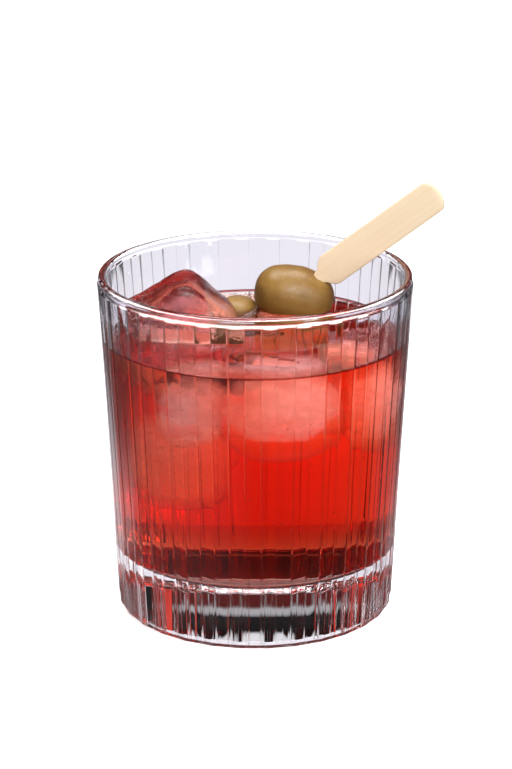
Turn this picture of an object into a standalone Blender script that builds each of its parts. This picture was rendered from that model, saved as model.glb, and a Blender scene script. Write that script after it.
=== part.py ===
"""A sparkling aperitif over ice in a fluted tumbler, with two olives on a bamboo pick.

Lengths are metres and +Z is up. The origin is the centre of the tumbler's flat
underside, and the front of the drink faces -Y.
"""
import math

import bmesh
import bpy
from mathutils import Vector, noise

# Tumbler
HEIGHT = 0.0973
BASE_RADIUS = 0.03857
RIM_RADIUS = 0.0440
LIP_WALL = 0.0020
FOOT_WALL = 0.0037
FLOOR_HEIGHT = 0.0165
FLOOR_FILLET = 0.0040
FOOT_ROUNDING = 0.0022
PLAIN_RIM = 0.0029
FLUTE_FADE = 0.0007
FOOT_STEPS = 3
FILLET_STEPS = 3
LIP_STEPS = 4

# Flutes: a rounded rib and a flat panel take turns round the wall
RIB_COUNT = 30
RIB_START = math.radians(2.3)
RIB_SPAN = math.radians(5.9)
RIB_CREST = 0.00024
PANEL_DIP = 0.00006
RIB_STEPS = 4
PANEL_STEPS = 2

# Drink
LEVEL = 0.0796
GAP = 0.0003
CUT_GAP = 0.0004
ICE_CUT_GAP = 0.00045
DRINK_STEPS = 72
SURFACE_RINGS = (1.0, 0.7, 0.4)

# Ice
ICE_STEPS = 7
ICE_ROUNDING = 11.0
ICE_WAVE = 0.035
ICE_WAVE_SCALE = 1.7

# Olives, half length and half width
OLIVE_HALF_LENGTH = 0.0114
OLIVE_HALF_WIDTH = 0.0084
OLIVE_TAPER = 0.05
OLIVE_SQUARENESS = 2.35
OLIVE_SEGMENTS = 22
OLIVE_RINGS = 12

# Pick, lengths measured along it from the middle of the front olive
PICK_POINT = Vector((0.0113, 0.0250, 0.0829))
PICK_DIRECTION = Vector((0.773, -0.134, 0.620)).normalized()
EYE = Vector((0.0, -0.781, 0.330))
PADDLE_WIDTH = 0.0095
PADDLE_THICKNESS = 0.0017
PIN_WIDTH = 0.0022
NECK_WIDTH = 0.0046
SHARP_END = -0.0360
SHARPENING = 0.0050
NECK_START = 0.0070
NECK_END = 0.0101
SHOULDER = 0.0135
CAP_START = 0.0494
CAP_LENGTH = 0.0030
CAP_BLUNTNESS = 0.985
CAP_TURNS = (25.0, 45.0, 60.0, 75.0, 90.0)
SHARP_SHARE = 0.15
SECTION_POINTS = 16

# Squareness of the pick's section: 2 is an ellipse, and more is nearer a rectangle
ROUND = 2.0
NECK_SQUARENESS = 5.0
PADDLE_SQUARENESS = 6.0

# Edges sharper than this stay sharp on the round pieces
SMOOTH_ANGLE = math.radians(35.0)


def clear_scene():
    """Empty the scene of objects."""
    for item in list(bpy.data.objects):
        bpy.data.objects.remove(item, do_unlink=True)


def material(name, colour, roughness, alpha=1.0, transmission=0.0):
    """A Principled finish; nothing on this object is metal."""
    finish = bpy.data.materials.new(name)
    finish.use_nodes = True
    shader = finish.node_tree.nodes["Principled BSDF"]
    shader.inputs["Base Color"].default_value = (*colour, 1.0)
    shader.inputs["Roughness"].default_value = roughness
    shader.inputs["Metallic"].default_value = 0.0
    shader.inputs["Alpha"].default_value = alpha
    shader.inputs["Transmission Weight"].default_value = transmission
    finish.diffuse_color = (*colour, alpha)
    return finish


def piece(name, shape, finish=None):
    """Turn a bmesh into a named object, shaded smooth but for its sharp edges."""
    shape.normal_update()
    bmesh.ops.recalc_face_normals(shape, faces=shape.faces)
    mesh = bpy.data.meshes.new(name)
    shape.to_mesh(mesh)
    shape.free()
    mesh.shade_smooth()
    mesh.set_sharp_from_angle(angle=SMOOTH_ANGLE)
    item = bpy.data.objects.new(name, mesh)
    bpy.context.collection.objects.link(item)
    if finish:
        mesh.materials.append(finish)
    return item


def cutter(name, shape):
    """A guide body that cuts another piece and isn't part of the object."""
    item = piece(name, shape)
    item.hide_render = True
    item.display_type = 'WIRE'
    return item


def cut(target, tool):
    """Take the tool's body out of the target."""
    boolean = target.modifiers.new("cut_" + tool.name, 'BOOLEAN')
    boolean.operation = 'DIFFERENCE'
    boolean.solver = 'EXACT'
    boolean.object = tool


def loft(rings):
    """Skin a row of rings of equal count; a ring of one point is a pole."""
    shape = bmesh.new()
    rows = [[shape.verts.new(point) for point in ring] for ring in rings]
    for lower, upper in zip(rows, rows[1:]):
        count = max(len(lower), len(upper))
        for i in range(count):
            j = (i + 1) % count
            if len(lower) == 1:
                shape.faces.new((lower[0], upper[j], upper[i]))
            elif len(upper) == 1:
                shape.faces.new((lower[i], lower[j], upper[0]))
            else:
                shape.faces.new((lower[i], lower[j], upper[j], upper[i]))
    return shape


def quarter_turn(steps):
    """Angles from 0 to a right angle, for a rounded corner."""
    return [math.pi / 2.0 * step / steps for step in range(steps + 1)]


def outer_radius(height):
    """The tumbler's outside without its flutes: a straight taper."""
    return BASE_RADIUS + (RIM_RADIUS - BASE_RADIUS) * height / HEIGHT


def inner_radius(height):
    """The inside of the wall, which is thickest at the floor."""
    share = (height - FLOOR_HEIGHT) / (HEIGHT - FLOOR_HEIGHT)
    return outer_radius(height) - FOOT_WALL + (FOOT_WALL - LIP_WALL) * share


def flute_angles():
    """Angle and relief of each point round the wall, rib after panel."""
    pitch = 2.0 * math.pi / RIB_COUNT
    points = []
    for rib in range(RIB_COUNT):
        start = RIB_START + rib * pitch
        for step in range(RIB_STEPS):
            share = step / RIB_STEPS
            points.append((start + RIB_SPAN * share, RIB_CREST * math.sin(math.pi * share)))
        for step in range(PANEL_STEPS):
            share = step / PANEL_STEPS
            angle = start + RIB_SPAN + (pitch - RIB_SPAN) * share
            points.append((angle, -PANEL_DIP * math.sin(math.pi * share)))
    return points


FLUTES = flute_angles()


def wall_ring(radius, height, relief=0.0):
    """One ring of the tumbler; angle 0 is the front and angles run towards +X."""
    ring = []
    for angle, depth in FLUTES:
        reach = radius + relief * depth
        ring.append((reach * math.sin(angle), -reach * math.cos(angle), height))
    return ring


def make_glass():
    """The tumbler: foot, fluted wall, plain rounded rim, inside and floor."""
    rings = [[(0.0, 0.0, 0.0)]]
    for turn in quarter_turn(FOOT_STEPS):
        height = FOOT_ROUNDING * (1.0 - math.cos(turn))
        inset = FOOT_ROUNDING * (1.0 - math.sin(turn))
        rings.append(wall_ring(outer_radius(height) - inset, height, math.sin(turn)))
    flute_top = HEIGHT - PLAIN_RIM
    rings.append(wall_ring(outer_radius(flute_top), flute_top, 1.0))
    rings.append(wall_ring(outer_radius(flute_top + FLUTE_FADE), flute_top + FLUTE_FADE))
    lip = LIP_WALL / 2.0
    centre = RIM_RADIUS - lip
    for step in range(LIP_STEPS + 1):
        turn = math.pi * step / LIP_STEPS
        rings.append(wall_ring(centre + lip * math.cos(turn), HEIGHT - lip + lip * math.sin(turn)))
    corner = FLOOR_HEIGHT + FLOOR_FILLET
    for turn in quarter_turn(FILLET_STEPS):
        reach = inner_radius(corner) - FLOOR_FILLET * (1.0 - math.cos(turn))
        rings.append(wall_ring(reach, corner - FLOOR_FILLET * math.sin(turn)))
    rings.append([(0.0, 0.0, FLOOR_HEIGHT)])
    return piece("glass", loft(rings), material("clear_glass", (0.95, 0.95, 0.98), 0.03, 0.3, 1.0))


def round_ring(radius, height, steps):
    """A plain ring with its own number of steps."""
    turns = [2.0 * math.pi * i / steps for i in range(steps)]
    return [(radius * math.sin(turn), -radius * math.cos(turn), height) for turn in turns]


def make_drink(cutters):
    """The drink fills the tumbler's inside up to its level, cut round what stands in it."""
    floor = FLOOR_HEIGHT + GAP
    fillet = FLOOR_FILLET
    corner = floor + fillet
    rings = [[(0.0, 0.0, floor)]]
    for turn in quarter_turn(FILLET_STEPS):
        reach = inner_radius(corner) - GAP - fillet * (1.0 - math.sin(turn))
        rings.append(round_ring(reach, corner - fillet * math.cos(turn), DRINK_STEPS))
    for share in SURFACE_RINGS:
        rings.append(round_ring((inner_radius(LEVEL) - GAP) * share, LEVEL, DRINK_STEPS))
    rings.append([(0.0, 0.0, LEVEL)])
    drink = piece("drink", loft(rings), material("red_aperitif", (0.70, 0.035, 0.02), 0.05, 0.8, 0.6))
    for tool in cutters:
        cut(drink, tool)
    return drink


def chunk(centre, sides, seed, grow=0.0):
    """A melted cube as a rounded crossing of flat sides.

    Each side is a normal and its distance from the centre. A point in direction
    d lies where the sum of (d . normal / distance) to the power ICE_ROUNDING is 1,
    which is the flat-sided body with its edges melted round.
    """
    shape = bmesh.new()
    bmesh.ops.create_cube(shape, size=2.0)
    bmesh.ops.subdivide_edges(shape, edges=shape.edges[:], cuts=ICE_STEPS - 1, use_grid_fill=True)
    bmesh.ops.triangulate(shape, faces=shape.faces[:], quad_method='FIXED')
    normals = [Vector(normal).normalized() for normal, _ in sides]
    reaches = [distance + grow for _, distance in sides]
    for vert in shape.verts:
        way = Vector([math.tan(value * math.pi / 4.0) for value in vert.co]).normalized()
        total = 0.0
        for normal, distance in zip(normals, reaches):
            total += (max(0.0, way.dot(normal)) / distance) ** ICE_ROUNDING
        wave = ICE_WAVE * noise.noise(way * ICE_WAVE_SCALE + Vector((seed, seed, seed)))
        vert.co = Vector(centre) + way * (total ** (-1.0 / ICE_ROUNDING)) * (1.0 + wave)
    return shape


# The left cube stands on edge, its melted top edge high above the drink
LEFT_ICE = {
    "centre": (-0.0208, 0.0062, 0.0768),
    "sides": (
        ((-0.515, 0.030, 0.857), 0.0150),
        ((0.690, 0.050, 0.720), 0.0150),
        ((0.120, 0.040, 0.990), 0.0192),
        ((0.970, 0.050, 0.060), 0.0170),
        ((0.080, -1.000, 0.060), 0.0128),
        ((-0.060, 1.000, 0.020), 0.0123),
        ((-0.770, -0.050, -0.640), 0.0088),
        ((0.515, 0.000, -0.857), 0.0130),
    ),
    "seed": 3.1,
}
# The front cube floats almost level, only its front left corner breaks the surface
FRONT_ICE = {
    "centre": (0.0062, -0.0193, 0.0668),
    "sides": (
        ((0.08, 0.14, 0.98), 0.0121),
        ((0.97, 0.22, 0.08), 0.0145),
        ((-0.24, -0.96, 0.10), 0.0116),
        ((0.62, -0.78, 0.05), 0.0145),
        ((0.20, 0.98, -0.05), 0.0098),
        ((-0.97, -0.20, -0.05), 0.0130),
        ((0.08, 0.12, -0.99), 0.0125),
    ),
    "seed": 8.4,
}
# The back lump shows one wet ridge, beside the front olive
BACK_ICE = {
    "centre": (0.0064, 0.0068, 0.0664),
    "sides": (
        ((-0.40, -0.31, 0.86), 0.0113),
        ((0.66, 0.68, 0.30), 0.0092),
        ((-0.10, 0.93, -0.35), 0.0090),
        ((-0.98, 0.05, 0.15), 0.0090),
        ((0.85, -0.10, 0.52), 0.0078),
        ((0.05, -0.99, 0.10), 0.0108),
        ((0.05, 0.10, -0.99), 0.0110),
    ),
    "seed": 5.7,
}


def make_ice(name, lump, finish):
    """One lump of clear ice."""
    return piece(name, chunk(lump["centre"], lump["sides"], lump["seed"]), finish)


def ice_cutter(name, lump):
    """The room that a lump of ice takes in the drink."""
    return cutter(name, chunk(lump["centre"], lump["sides"], lump["seed"], ICE_CUT_GAP))


FRONT_OLIVE = {"centre": (0.0112, 0.0250, 0.0831), "long_way": (0.980, -0.060, -0.170)}
BACK_OLIVE = {"centre": (-0.0057, 0.0279, 0.0704), "long_way": (0.120, -0.080, 1.000)}


def olive_shape(olive, grow=0.0):
    """An egg: a slightly squared ball stretched along its own way, slimmer at its far end."""
    shape = bmesh.new()
    bmesh.ops.create_uvsphere(
        shape, u_segments=OLIVE_SEGMENTS, v_segments=OLIVE_RINGS, radius=1.0)
    turn = Vector((0.0, 0.0, 1.0)).rotation_difference(Vector(olive["long_way"]).normalized())
    for vert in shape.verts:
        ends = abs(vert.co.z) ** OLIVE_SQUARENESS
        sides = (1.0 - vert.co.z ** 2) ** (OLIVE_SQUARENESS / 2.0)
        vert.co *= (ends + sides) ** (-1.0 / OLIVE_SQUARENESS)
        width = (OLIVE_HALF_WIDTH + grow) * (1.0 - OLIVE_TAPER * vert.co.z)
        local = Vector((vert.co.x * width, vert.co.y * width,
                        vert.co.z * (OLIVE_HALF_LENGTH + grow)))
        vert.co = Vector(olive["centre"]) + turn @ local
    return shape


def make_olive(name, olive, finish, hole):
    """An olive with the hole that the pick goes through."""
    item = piece(name, olive_shape(olive), finish)
    cut(item, hole)
    return item


def pick_profile(along):
    """Width, thickness and squareness of the pick at one place along it."""
    if along < SHARP_END + SHARPENING:
        share = SHARP_SHARE + (1.0 - SHARP_SHARE) * (along - SHARP_END) / SHARPENING
        return PIN_WIDTH * share, PADDLE_THICKNESS * share, ROUND
    if along < NECK_START:
        return PIN_WIDTH, PADDLE_THICKNESS, ROUND
    if along < NECK_END:
        share = (along - NECK_START) / (NECK_END - NECK_START)
        width = PIN_WIDTH + (NECK_WIDTH - PIN_WIDTH) * share
        return width, PADDLE_THICKNESS, ROUND + (NECK_SQUARENESS - ROUND) * share
    if along < SHOULDER:
        share = (along - NECK_END) / (SHOULDER - NECK_END)
        spread = math.sin(share * math.pi / 2.0)
        width = NECK_WIDTH + (PADDLE_WIDTH - NECK_WIDTH) * spread
        return width, PADDLE_THICKNESS, NECK_SQUARENESS
    if along < CAP_START:
        return PADDLE_WIDTH, PADDLE_THICKNESS, PADDLE_SQUARENESS
    share = min(CAP_BLUNTNESS, (along - CAP_START) / CAP_LENGTH)
    return PADDLE_WIDTH * math.sqrt(1.0 - share * share), PADDLE_THICKNESS, PADDLE_SQUARENESS


def pick_stations():
    """Places along the pick where its section is set, close together where it bends."""
    stations = [SHARP_END, SHARP_END + SHARPENING, NECK_START]
    stations += [NECK_START + (NECK_END - NECK_START) * share for share in (0.5, 1.0)]
    stations += [NECK_END + (SHOULDER - NECK_END) * share for share in (0.3, 0.6, 0.85, 1.0)]
    stations += [SHOULDER + (CAP_START - SHOULDER) * share for share in (0.33, 0.67, 1.0)]
    stations += [CAP_START + CAP_LENGTH * math.sin(math.radians(turn)) for turn in CAP_TURNS]
    return stations


def pick_frame():
    """The pick's own axes: along it, across the paddle and out of its face."""
    middle = PICK_POINT + PICK_DIRECTION * (SHOULDER + CAP_START) / 2.0
    across = PICK_DIRECTION.cross(EYE - middle).normalized()
    face = across.cross(PICK_DIRECTION).normalized()
    return across, face


def pick_shape(grow=0.0):
    """Rounded sections carried along the pick, from its sharp end to its round one."""
    across, face = pick_frame()
    rings = []
    for along in pick_stations():
        width, thickness, square = pick_profile(along)
        centre = PICK_POINT + PICK_DIRECTION * along
        ring = []
        for i in range(SECTION_POINTS):
            turn = 2.0 * math.pi * (i + 0.5) / SECTION_POINTS
            c, s = math.cos(turn), math.sin(turn)
            x = math.copysign(abs(c) ** (2.0 / square), c) * (width / 2.0 + grow)
            y = math.copysign(abs(s) ** (2.0 / square), s) * (thickness / 2.0 + grow)
            ring.append(centre + across * x + face * y)
        rings.append(ring)
    rings.insert(0, [PICK_POINT + PICK_DIRECTION * (SHARP_END - grow)])
    rings.append([PICK_POINT + PICK_DIRECTION * (CAP_START + CAP_LENGTH + grow)])
    return loft(rings)


def main():
    clear_scene()
    ice_finish = material("ice", (0.93, 0.90, 0.90), 0.04, 0.5, 1.0)
    make_glass()
    make_ice("ice_left", LEFT_ICE, ice_finish)
    make_ice("ice_front", FRONT_ICE, ice_finish)
    make_ice("ice_back", BACK_ICE, ice_finish)
    pick_room = cutter("room_for_pick", pick_shape(CUT_GAP))
    make_olive("olive_front", FRONT_OLIVE, material("olive_skin", (0.30, 0.17, 0.04), 0.35), pick_room)
    make_olive("olive_back", BACK_OLIVE, material("sunk_olive_skin", (0.28, 0.18, 0.03), 0.35), pick_room)
    piece("pick", pick_shape(), material("bamboo", (0.90, 0.74, 0.48), 0.55))
    make_drink([
        ice_cutter("room_for_left_ice", LEFT_ICE),
        ice_cutter("room_for_front_ice", FRONT_ICE),
        ice_cutter("room_for_back_ice", BACK_ICE),
        cutter("room_for_front_olive", olive_shape(FRONT_OLIVE, CUT_GAP)),
        cutter("room_for_back_olive", olive_shape(BACK_OLIVE, CUT_GAP)),
        pick_room,
    ])


main()
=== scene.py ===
# %% [markdown]
# # A sparkling aperitif in a fluted tumbler
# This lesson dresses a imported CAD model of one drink: a pressed tumbler, a red sparkling
# aperitif, clear ice and two green olives on a bamboo pick. The CAD model gives the sizes
# and the places, and every cell below makes one piece or one finish of the real thing.

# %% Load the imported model
import math

import bpy
import numpy as np
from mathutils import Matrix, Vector


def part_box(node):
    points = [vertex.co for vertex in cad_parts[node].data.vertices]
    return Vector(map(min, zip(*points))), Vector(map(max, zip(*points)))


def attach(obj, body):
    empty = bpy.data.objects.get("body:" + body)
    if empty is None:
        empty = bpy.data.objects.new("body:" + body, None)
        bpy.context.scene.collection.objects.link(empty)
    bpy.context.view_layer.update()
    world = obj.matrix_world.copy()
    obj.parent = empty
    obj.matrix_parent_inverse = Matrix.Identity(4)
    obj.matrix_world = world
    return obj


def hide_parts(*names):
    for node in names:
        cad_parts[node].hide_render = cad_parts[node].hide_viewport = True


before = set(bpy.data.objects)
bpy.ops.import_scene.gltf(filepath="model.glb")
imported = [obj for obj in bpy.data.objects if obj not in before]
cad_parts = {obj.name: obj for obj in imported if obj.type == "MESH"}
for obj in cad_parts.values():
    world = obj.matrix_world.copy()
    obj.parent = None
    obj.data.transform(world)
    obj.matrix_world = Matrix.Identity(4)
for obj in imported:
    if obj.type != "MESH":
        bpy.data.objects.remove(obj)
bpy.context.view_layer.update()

MM = 0.001
glass_low, glass_high = (np.array(corner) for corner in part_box("glass"))
print("CAD tumbler in mm:", ((glass_high - glass_low) / MM).round(1))

# %% [markdown]
# ## Helpers for worked-out surfaces
# Every new piece is a skin over a grid of points: rows of rings, each ring closed on
# itself, and a single point at a pole. The grid comes from a formula on whole arrays, so
# a finer piece is only a matter of more rows. Soft unevenness comes from a sum of sine
# waves in random directions, which is smooth, cheap and the same on each run.

# %% Skins and waves
def skin_faces(rows, columns, start=0):
    """Quads between neighbouring rings of a grid, closed round each ring."""
    row, column = np.meshgrid(np.arange(rows - 1), np.arange(columns), indexing="ij")
    after = (column + 1) % columns
    low, high = row * columns, (row + 1) * columns
    quads = np.stack([low + column, low + after, high + after, high + column], axis=-1)
    return quads.reshape(-1, 4) + start


def closed_skin(rings, first, last):
    """A closed body: a pole, rows of rings and a pole. rings is rows x columns x 3."""
    rows, columns = rings.shape[:2]
    points = np.concatenate([rings.reshape(-1, 3), [first], [last]])
    quads = skin_faces(rows, columns)
    here = np.arange(columns)
    after = (here + 1) % columns
    foot = np.stack([np.full(columns, rows * columns), after, here], axis=-1)
    top = (rows - 1) * columns
    head = np.stack([np.full(columns, rows * columns + 1), top + here, top + after], axis=-1)
    return points, quads, np.concatenate([foot, head])


def volume_of(points, quads, tris):
    """Signed volume: positive when the faces point outwards."""
    both = np.concatenate([quads[:, [0, 1, 2]], quads[:, [0, 2, 3]], tris])
    a, b, c = (points[both[:, i]] for i in range(3))
    return float(np.einsum("ij,ij->i", a, np.cross(b, c)).sum() / 6.0)


def turned_out(body):
    """The same body with its faces pointing outwards."""
    points, quads, tris = body
    if volume_of(points, quads, tris) < 0.0:
        return points, quads[:, ::-1], tris[:, ::-1]
    return body


def turned_in(body):
    """The same body with its faces pointing inwards, for a hollow in another piece."""
    points, quads, tris = turned_out(body)
    return points, quads[:, ::-1], tris[:, ::-1]


def joined(bodies):
    """Several bodies as one set of points and faces."""
    points, quads, tris, count = [], [], [], 0
    for body in bodies:
        points.append(body[0])
        quads.append(body[1] + count)
        tris.append(body[2] + count)
        count += len(body[0])
    return np.concatenate(points), np.concatenate(quads), np.concatenate(tris)


def make_piece(name, body, finish=None):
    """A smooth mesh object at the origin."""
    points, quads, tris = body
    mesh = bpy.data.meshes.new(name)
    mesh.from_pydata(points.tolist(), [], quads.tolist() + tris.tolist())
    mesh.polygons.foreach_set("use_smooth", np.ones(len(mesh.polygons), dtype=bool))
    mesh.update()
    item = bpy.data.objects.new(name, mesh)
    bpy.context.scene.collection.objects.link(item)
    if finish:
        mesh.materials.append(finish)
    size = (points.max(axis=0) - points.min(axis=0)) / MM
    print(f"{name}: {len(quads) * 2 + len(tris)} triangles, {size.round(1)} mm")
    return item


def waves(points, seed, length, count=12):
    """A smooth random height from -1 to 1: sines in random directions, wave length in metres."""
    draw = np.random.default_rng(seed)
    ways = draw.normal(size=(count, 3))
    ways /= np.linalg.norm(ways, axis=1)[:, None]
    pitch = 2.0 * math.pi / (length * draw.uniform(0.7, 1.5, count))
    phase = draw.uniform(0.0, 2.0 * math.pi, count)
    return np.sin(points @ (ways * pitch[:, None]).T + phase).sum(axis=-1) / math.sqrt(count)


def arc(centre_r, centre_z, radius, start, end, count):
    """Points of a profile's rounded corner, angles in degrees from straight out."""
    turn = np.radians(np.linspace(start, end, count))
    return np.stack([centre_r + radius * np.cos(turn), centre_z + radius * np.sin(turn)], axis=-1)


print("a wave field at three places:", waves(np.eye(3), 1, 10.0 * MM).round(2))

# %% [markdown]
# ## Camera
# The photo looks down on the rim by about nineteen degrees from a little under a metre,
# with a long lens. A long lens keeps the taper of the glass true.

# %% Camera
LENS_MM = 137.6
SENSOR_MM = 36.0
EYE = Vector((0.0, -0.781, 0.3297))
AIM = Vector((0.000235, 0.0, 0.06431))
camera_data = bpy.data.cameras.new("photo_camera")
camera_data.lens = LENS_MM
camera_data.sensor_width = SENSOR_MM
camera_data.clip_start = 0.01
camera = bpy.data.objects.new("photo_camera", camera_data)
bpy.context.scene.collection.objects.link(camera)
camera.location = EYE
camera.rotation_euler = (AIM - EYE).to_track_quat('-Z', 'Y').to_euler()
bpy.context.scene.camera = camera
print("camera at", tuple(EYE), "looking at", tuple(AIM))

# %% [markdown]
# ## Node helpers
# A material is a tree of nodes. A few helpers keep the trees short to read: they add a
# node, do arithmetic, make a colour ramp, blend two colours, or give the place on a piece
# in Object coordinates. A piece's pattern stays on it when the piece is moved, because
# Object coordinates move along.

# %% Node helpers
def add(tree, kind, **settings):
    """A node with its settings and its sockets' values."""
    node = tree.nodes.new(kind)
    for key, value in settings.items():
        if key in node.inputs:
            node.inputs[key].default_value = value
        else:
            setattr(node, key, value)
    return node


def maths(tree, operation, a, b=None, c=None, clamp=False):
    """A Math node: each input is a socket or a number."""
    node = tree.nodes.new("ShaderNodeMath")
    node.operation = operation
    node.use_clamp = clamp
    for socket, value in zip(node.inputs, (a, b, c)):
        if value is None:
            continue
        if isinstance(value, (int, float)):
            socket.default_value = value
        else:
            tree.links.new(value, socket)
    return node.outputs[0]


def ramp(tree, factor, stops):
    """A colour ramp; stops are (place, grey or colour)."""
    node = tree.nodes.new("ShaderNodeValToRGB")
    elements = node.color_ramp.elements
    while len(elements) < len(stops):
        elements.new(0.5)
    for element, (place, colour) in zip(elements, stops):
        element.position = place
        shade = (colour, colour, colour) if isinstance(colour, (int, float)) else colour
        element.color = (*shade, 1.0)
    tree.links.new(factor, node.inputs[0])
    return node.outputs[0]


def blend(tree, share, a, b):
    """A colour between a and b; each of the two is a socket or a colour."""
    mix = add(tree, "ShaderNodeMix", data_type='RGBA')
    tree.links.new(share, mix.inputs["Factor"])
    for name, value in (("A", a), ("B", b)):
        if isinstance(value, tuple):
            mix.inputs[name].default_value = (*value, 1.0)
        else:
            tree.links.new(value, mix.inputs[name])
    return mix.outputs["Result"]


def place_on(tree):
    """The place on a piece in Object coordinates: whole, and its x, y and z."""
    where = add(tree, "ShaderNodeTexCoord").outputs["Object"]
    split = add(tree, "ShaderNodeSeparateXYZ")
    tree.links.new(where, split.inputs[0])
    x, y, z = split.outputs
    return where, x, y, z


def new_material(name):
    """An empty material; returns it and its tree."""
    finish = bpy.data.materials.new(name)
    finish.use_nodes = True
    finish.node_tree.nodes.clear()
    return finish, finish.node_tree


def lay_on(tree, shader):
    """Put a shader on the surface; returns the output node."""
    out = add(tree, "ShaderNodeOutputMaterial")
    tree.links.new(shader.outputs[0], out.inputs["Surface"])
    return out


def for_camera(tree, others, plain):
    """One shader for the camera's own rays and another for all other rays."""
    seen = add(tree, "ShaderNodeLightPath").outputs["Is Camera Ray"]
    mix = add(tree, "ShaderNodeMixShader")
    for socket, value in zip(mix.inputs, (seen, others.outputs[0], plain.outputs[0])):
        tree.links.new(value, socket)
    return mix


print("helpers:", [helper.__name__ for helper in (add, maths, ramp, blend, place_on, lay_on, for_camera)])

# %% [markdown]
# ## Floor
# Clear glass shows only what is round it, so the studio is the real finish of this piece.
# To the eye the floor is plain and pale. What the glass sees of it glows in strips: bright
# behind the tumbler, where light comes up through the drink, and dark to the sides, as dark
# cards make it, because that draws the edges of the flutes. Each strip is a ramp across
# times a ramp in depth, so that its edges can be set one by one.

# %% Floor
FLOOR_REACH = 4.0
FLOOR_DROP = 0.2 * MM
GLOW_TINT = (0.965, 0.95, 1.0, 1.0)
NEAR_STRIP = (
    [(0.0, 0.05), (0.22, 0.20), (0.32, 1.20), (0.48, 1.35), (0.54, 1.0), (0.62, 0.60), (0.70, 0.22),
     (1.0, 0.05)],
    [(0.0, 0.0), (0.505, 0.0), (0.52, 0.60), (0.56, 0.85), (0.60, 0.95), (0.64, 1.05), (0.68, 1.35),
     (0.73, 1.35), (0.77, 0.0)])
FAR_STRIP = (
    [(0.0, 0.05), (0.22, 0.10), (0.30, 1.0), (0.70, 1.0), (0.78, 0.10), (1.0, 0.05)],
    [(0.0, 0.0), (0.73, 0.0), (0.77, 1.0), (1.0, 1.0)])
FRONT_STRIP = (
    [(0.0, 0.15), (0.30, 0.18), (0.44, 0.10), (0.50, 0.03), (1.0, 0.03)],
    [(0.0, 0.4), (0.30, 1.0), (0.50, 1.0), (0.56, 0.0)])


def floor_glow(tree):
    """The sum of the strips: across runs over half a metre from the left, depth over one from the front."""
    _, x, y, _ = place_on(tree)
    across = maths(tree, 'MULTIPLY', maths(tree, 'ADD', x, 0.25), 2.0, clamp=True)
    depth = maths(tree, 'ADD', y, 0.5, clamp=True)
    glow = 0.0
    for across_stops, depth_stops in (NEAR_STRIP, FAR_STRIP, FRONT_STRIP):
        strip = maths(tree, 'MULTIPLY', ramp(tree, across, across_stops), ramp(tree, depth, depth_stops))
        glow = maths(tree, 'ADD', strip, glow)
    return glow


def floor_finish():
    """Plain white to the eye, and the glowing strips to all other rays."""
    finish, tree = new_material("pale_floor")
    emit = add(tree, "ShaderNodeEmission")
    emit.inputs["Color"].default_value = GLOW_TINT
    tree.links.new(floor_glow(tree), emit.inputs["Strength"])
    plain = add(tree, "ShaderNodeBsdfPrincipled")
    plain.inputs["Base Color"].default_value = (0.85, 0.85, 0.85, 1.0)
    plain.inputs["Roughness"].default_value = 0.8
    plain.inputs["Specular IOR Level"].default_value = 0.0
    plain.inputs["Emission Color"].default_value = (1.0, 1.0, 1.0, 1.0)
    plain.inputs["Emission Strength"].default_value = 0.80
    lay_on(tree, for_camera(tree, emit, plain))
    return finish


floor_mesh = bpy.data.meshes.new("floor")
corners = [(x * FLOOR_REACH, y * FLOOR_REACH, -FLOOR_DROP) for x, y in ((-1, -1), (1, -1), (1, 1), (-1, 1))]
floor_mesh.from_pydata(corners, [], [(0, 1, 2, 3)])
floor = bpy.data.objects.new("floor", floor_mesh)
bpy.context.scene.collection.objects.link(floor)
floor_mesh.materials.append(floor_finish())
print("floor:", 2.0 * FLOOR_REACH, "m square,", FLOOR_DROP / MM, "mm under the foot")

# %% [markdown]
# ## Room and lamps
# The thick foot bends light so much that it shows the room above the horizon, in bands. So
# the room's colour goes by height: cards of dark red, grey, black and white, one over the
# other, and narrow red and white cards low at the sides. A bright sky exists for sharp
# reflections alone, which draws the white line along the rim and leaves the drink as it
# is. Three soft lamps shape the ice, the olives and the pick.

# %% Room
CARD_RED = (0.10, 0.014, 0.012)
CARD_DUSTY = (0.38, 0.15, 0.145)
CARD_WHITE = (0.9, 0.86, 0.88)
SKY_TINT = (1.0, 0.97, 0.95)
SKY_GAIN = 25.0


def room_bands(tree, height):
    """Cards by height, which is the sine of the angle over the horizon."""
    return ramp(tree, height, [
        (0.0, CARD_RED), (0.27, CARD_RED), (0.285, CARD_DUSTY), (0.330, CARD_DUSTY), (0.336, CARD_RED),
        (0.374, CARD_RED), (0.377, 0.42), (0.389, 0.42), (0.393, 0.004), (0.4270, 0.004), (0.4300, 0.85),
        (0.48, 0.85), (0.52, 0.25), (0.66, 0.22), (0.70, 0.015), (0.90, 0.015), (0.95, 1.0)])


def side_cards(tree, wide):
    """Narrow cards by how far a direction points to the side."""
    return ramp(tree, wide, [
        (0.0, 0.005), (0.50, 0.005), (0.54, (0.75, 0.06, 0.04)), (0.61, (0.60, 0.04, 0.03)),
        (0.64, 0.005), (0.72, 0.005), (0.75, CARD_WHITE), (0.79, CARD_WHITE), (0.82, 0.005),
        (0.88, (0.40, 0.02, 0.015)), (0.94, 0.005)])


def sky_share(tree, height, back):
    """One where a sharp reflection looks up and not straight to the back, and nought elsewhere."""
    path = add(tree, "ShaderNodeLightPath")
    mirror = maths(tree, 'MULTIPLY', path.outputs["Is Singular Ray"],
                   maths(tree, 'SUBTRACT', 1.0, path.outputs["Is Transmission Ray"]))
    over = maths(tree, 'MULTIPLY', maths(tree, 'MULTIPLY_ADD', height, 8.0, -0.4, clamp=True),
                 maths(tree, 'MULTIPLY_ADD', height, -7.0, 5.2, clamp=True))
    ahead = maths(tree, 'MULTIPLY_ADD', back, -4.0, 3.2, clamp=True)
    return maths(tree, 'MULTIPLY', maths(tree, 'MULTIPLY', mirror, over), ahead)


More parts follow.
